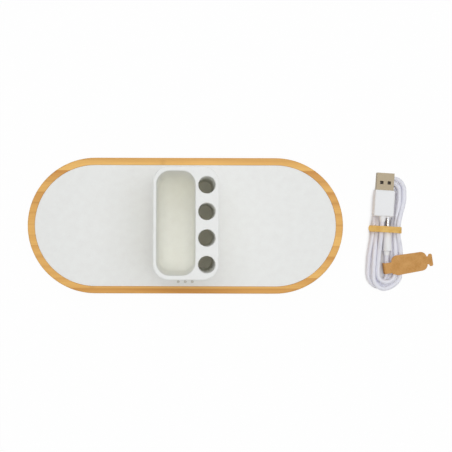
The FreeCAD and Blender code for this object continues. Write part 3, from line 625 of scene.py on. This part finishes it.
# %% Moulded ABS
GRIT = 1.1  # really 0.2 mm, drawn coarser so that it shows
CLOUD = 5.0
GRIT_PART = 0.6
TONE_LOW, TONE_HIGH = 0.5, 1.1

# A spark texture breaks every reflection up, so the eye sees an even, slightly warm white.
abs_white, tree, shader = finish("ABS, moulded with a spark texture", IOR=1.53, Specular_IOR_Level=0.4)
place = add(tree, "TexCoord").outputs["Object"]
grit = add(tree, "TexNoise", {"Vector": place, "Scale": 1 / (GRIT * MM), "Detail": 2.0})
cloud = add(tree, "TexNoise", {"Vector": place, "Scale": 1 / (CLOUD * MM), "Detail": 2.0})
tone = add(tree, "Math", {"Value": grit, "Value_001": GRIT_PART, "Value_002": cloud},
           operation="MULTIPLY_ADD")
tone = add(tree, "MapRange", {"Value": tone, "From Min": TONE_LOW, "From Max": TONE_HIGH})
white = add(tree, "Mix", {"Factor": tone, "A": linear("#F6F5F1"), "B": linear("#FAFAF6")},
            data_type="RGBA")
sheen = add(tree, "MapRange", {"Value": grit, "To Min": 0.5, "To Max": 0.68})
relief = add(tree, "Bump", {"Height": grit, "Strength": 0.12, "Distance": 0.08 * MM})
paint(tree, shader, Base_Color=white, Roughness=sheen, Normal=relief)
print("grit drawn at", GRIT, "mm")

# %% [markdown]
# ## The cable's own materials
#
# The cord is an extruded soft plastic, a cool satin white with faint drawing marks. The two plugs are
# overmoulded in a warmer, duller white. The large plug's shell is folded sheet with a champagne
# plating, brushed along the plug, and the small plug's shell is bright drawn stainless steel. A metal
# has no colour of its own under the surface: its tint is all in the reflection.

# %% Cord and overmoulds
DRAWING_MARK = 1.2
LIGHT_WANDERS = 1.2

# Light wanders in the soft plastic, so the shade between two runs is never hard.
cord_white, tree, shader = finish("TPE, extruded satin", IOR=1.5, Subsurface_Weight=0.6,
                                  Subsurface_Scale=LIGHT_WANDERS * MM, Subsurface_Radius=(1.0, 1.0, 1.0))
place = add(tree, "TexCoord").outputs["Object"]
marks = add(tree, "TexNoise", {"Vector": place, "Scale": 1 / (DRAWING_MARK * MM), "Detail": 2.0})
white = add(tree, "Mix", {"Factor": marks, "A": linear("#EEEDF4"), "B": linear("#F4F3FA")},
            data_type="RGBA")
sheen = add(tree, "MapRange", {"Value": marks, "To Min": 0.38, "To Max": 0.5})
paint(tree, shader, Base_Color=white, Roughness=sheen)

# The plugs' grips come from an eroded mould, so they are duller and cleaner than the cord.
plug_white, tree, shader = finish("TPE, overmoulded matt", IOR=1.5)
place = add(tree, "TexCoord").outputs["Object"]
grain = add(tree, "TexNoise", {"Vector": place, "Scale": 1 / (GRIT * MM), "Detail": 2.0})
white = add(tree, "Mix", {"Factor": grain, "A": linear("#F8F7F6"), "B": linear("#FCFBFA")},
            data_type="RGBA")
sheen = add(tree, "MapRange", {"Value": grain, "To Min": 0.5, "To Max": 0.65})
relief = add(tree, "Bump", {"Height": grain, "Strength": 0.08, "Distance": 0.05 * MM})
paint(tree, shader, Base_Color=white, Roughness=sheen, Normal=relief)
print("made", cord_white.name, "and", plug_white.name)

# %% Metals
BRUSH_LENGTH, BRUSH_WIDTH = 12.0, 0.5  # the scratches are finer, drawn wider so that they show


def brushed(name, dark, light, rough_low, rough_high):
    """Sheet metal with fine scratches along Y: streaks in tone and in roughness."""
    material, tree, shader = finish(name, Metallic=1.0)
    place = add(tree, "TexCoord").outputs["Object"]
    stretched = add(tree, "VectorMath", {"Vector": place, "Vector_001": (
        1 / (BRUSH_WIDTH * MM), 1 / (BRUSH_LENGTH * MM), 1 / (BRUSH_WIDTH * MM))}, operation="MULTIPLY")
    scratches = add(tree, "TexNoise", {"Vector": stretched, "Scale": 1.0, "Detail": 3.0,
                                       "Roughness": 0.65})
    tint = add(tree, "Mix", {"Factor": scratches, "A": linear(dark), "B": linear(light)},
               data_type="RGBA")
    rough = add(tree, "MapRange", {"Value": scratches, "To Min": rough_low, "To Max": rough_high})
    relief = add(tree, "Bump", {"Height": scratches, "Strength": 0.1, "Distance": 0.02 * MM})
    paint(tree, shader, Base_Color=tint, Roughness=rough, Normal=relief)
    return material


# A dull gold-grey that blurs what it reflects.
champagne = brushed("steel sheet, champagne plated and brushed", "#988A73", "#B1A38B", 0.44, 0.58)
# Bright and cold, with sharp light and dark edges.
stainless = brushed("stainless steel, drawn", "#C4C4C6", "#DEDEDF", 0.18, 0.3)
# A bluish grey with a soft shine.
zinc = brushed("steel screw, bright zinc plated", "#A9AAB0", "#CFD0D2", 0.25, 0.4)
# A deep orange with a soft shine, from the lacquer on the wire.
copper = brushed("enamelled copper winding", "#A25A2C", "#C98450", 0.25, 0.4)
print("metals:", [metal.name for metal in (champagne, stainless, zinc, copper)])

# %% [markdown]
# ## Kraft paper
#
# Strap and tag are die-cut from brown kraft: long fibres lie every way in the sheet, so its tone is
# flecked and its face is dull. The strap is a paler, smoother grade than the tag. Flecks come
# from two noises, a twisted one for single fibres and a round one for the pulp's clouds.

# %% Kraft grades
FIBRE, PULP = 1.6, 5.0
PULP_LOW, PULP_HIGH = 0.7, 1.3
SPECK_FROM, SPECK_FULL, SPECK_STRENGTH = 0.62, 0.72, 0.35


def kraft(name, dark, light, fleck):
    """Uncoated paper: flecks of fibre over the pulp's clouds."""
    material, tree, shader = finish(name, IOR=1.45, Specular_IOR_Level=0.25)
    place = add(tree, "TexCoord").outputs["Object"]
    clouds = add(tree, "TexNoise", {"Vector": place, "Scale": 1 / (PULP * MM), "Detail": 2.0})
    fibres = add(tree, "TexNoise", {"Vector": place, "Scale": 1 / (FIBRE * MM), "Detail": 4.0,
                                    "Distortion": 1.5})
    tone = add(tree, "Math", {"Value": fibres, "Value_001": clouds}, operation="ADD")
    tone = add(tree, "MapRange", {"Value": tone, "From Min": PULP_LOW, "From Max": PULP_HIGH})
    paper = add(tree, "Mix", {"Factor": tone, "A": linear(dark), "B": linear(light)}, data_type="RGBA")
    specks = add(tree, "MapRange", {"Value": fibres, "From Min": SPECK_FROM, "From Max": SPECK_FULL,
                                    "To Min": 0.0, "To Max": SPECK_STRENGTH})
    paper = add(tree, "Mix", {"Factor": specks, "A": paper, "B": linear(fleck)}, data_type="RGBA")
    rough = add(tree, "MapRange", {"Value": fibres, "To Min": 0.75, "To Max": 0.95})
    relief = add(tree, "Bump", {"Height": fibres, "Strength": 0.2, "Distance": 0.05 * MM})
    paint(tree, shader, Base_Color=paper, Roughness=rough, Normal=relief)
    return material


# Unbleached board is a dull, cloudy brown.
tag.data.materials.append(kraft("kraft board, die-cut", "#CB9250", "#E0AB6A", "#A67640"))
# Rolling between hot drums leaves the strap paler and more golden.
strap.data.materials.append(kraft("kraft strap, calendered", "#E8B662", "#F6CB7A", "#BE8F48"))
line.materials.append(cord_white)
print("paper on", tag.name, strap.name)

# %% [markdown]
# ## What is hidden inside
#
# The feet, the circuit board and the parts on it only show from below or through the supply port, but
# each is a real piece with its own finish. One recipe does for these moulded, sintered and dipped
# pieces: two tones, a grain of its real size, and a roughness that follows the grain.

# %% Small finishes


def grained(name, dark, light, grain, rough_low, rough_high, **constants):
    """A finish of two tones in grains of that size in mm."""
    material, tree, shader = finish(name, **constants)
    place = add(tree, "TexCoord").outputs["Object"]
    grains = add(tree, "TexNoise", {"Vector": place, "Scale": 1 / (grain * MM), "Detail": 3.0})
    tint = add(tree, "Mix", {"Factor": grains, "A": linear(dark), "B": linear(light)}, data_type="RGBA")
    rough = add(tree, "MapRange", {"Value": grains, "To Min": rough_low, "To Max": rough_high})
    relief = add(tree, "Bump", {"Height": grains, "Strength": 0.1, "Distance": 0.05 * MM})
    paint(tree, shader, Base_Color=tint, Roughness=rough, Normal=relief)
    return material


# Rubber is dark grey and swallows the light.
silicone = grained("silicone rubber foot, moulded matt", "#3C3C3C", "#4A4A49", 0.8, 0.7, 0.85, IOR=1.43)
# The lacquer on a circuit board is a deep green with a wet shine.
laminate = grained("glass laminate with green solder mask", "#12502C", "#1C6B3A", 1.5, 0.3, 0.45, IOR=1.5)
# Chips and their kin are black and dull.
black_plastic = grained("moulding compound, black matt", "#161616", "#242424", 0.6, 0.45, 0.6, IOR=1.5)
# The large plug's tongue is given a dark brown, so the two square windows of its shell show dark.
brown_plastic = grained("polyester insulator, moulded", "#4A3D30", "#594A3B", 0.6, 0.5, 0.65, IOR=1.57)
# A dipped coating runs smooth, so it is rust red and glossy.
coating = grained("epoxy coating, dipped", "#7A2A18", "#93402A", 1.2, 0.2, 0.3, IOR=1.5)
# Fired powder is a dark, stony grey.
ferrite = grained("ferrite disc, sintered", "#262628", "#3A3A3D", 0.5, 0.55, 0.7, IOR=1.6)
# The end of a light guide is a smooth grey dot while its lamp is off.
clear = grained("polycarbonate light guide, polished", "#C8C5BB", "#D3CFC6", 0.7, 0.2, 0.3, IOR=1.58)
# The cap over the lamp is pale yellow.
lamp_white = grained("LED chip with phosphor cap", "#E9E2A8", "#F2EDC6", 0.4, 0.3, 0.4, IOR=1.5)
print("materials in all:", len(bpy.data.materials))

# %% [markdown]
# ## Dressing the solids
#
# Each solid takes one finish. They are named here piece by piece, because the finish belongs to the
# real piece and not to its shape.

# %% Give each solid its finish
WORN_BY = [
    (bamboo, ["bamboo_ring"]),
    (abs_white, ["top_plate", "organizer_block", "bottom_cover"]),
    (silicone, [name for name in nodes if name.startswith("foot_")]),
    (zinc, ["cover_screws", "block_screws", "board_screws"]),
    (laminate, ["main_circuit_board"]),
    (stainless, ["usb_c_socket_shell", "usb_c_plug_shell"]),
    (black_plastic, ["usb_c_socket_insulator", "controller_chip", "power_transistors",
                     "power_inductor"]),
    (brown_plastic, ["usb_a_insulator"]),
    (coating, ["resonance_capacitors"]),
    (clear, ["indicator_light_guide"]),
    (lamp_white, ["indicator_leds"]),
    (copper, ["charging_coil_left", "charging_coil_right", "coil_leads_left", "coil_leads_right"]),
    (ferrite, ["ferrite_left", "ferrite_right"]),
    (plug_white, ["usb_a_overmold", "usb_c_overmold"]),
    (champagne, ["usb_a_shell"]),
]
for material, names in WORN_BY:
    for name in names:
        nodes[name].data.materials.clear()
        nodes[name].data.materials.append(material)
print("dressed", sum(len(names) for material, names in WORN_BY), "solids")

# %% [markdown]
# ## The finished cable
#
# The cord is flexible, and the strap and the tag lie on it. A fixed mesh would freeze the hank.

print("cord declared with its plugs,", strap.name, "and", tag.name)
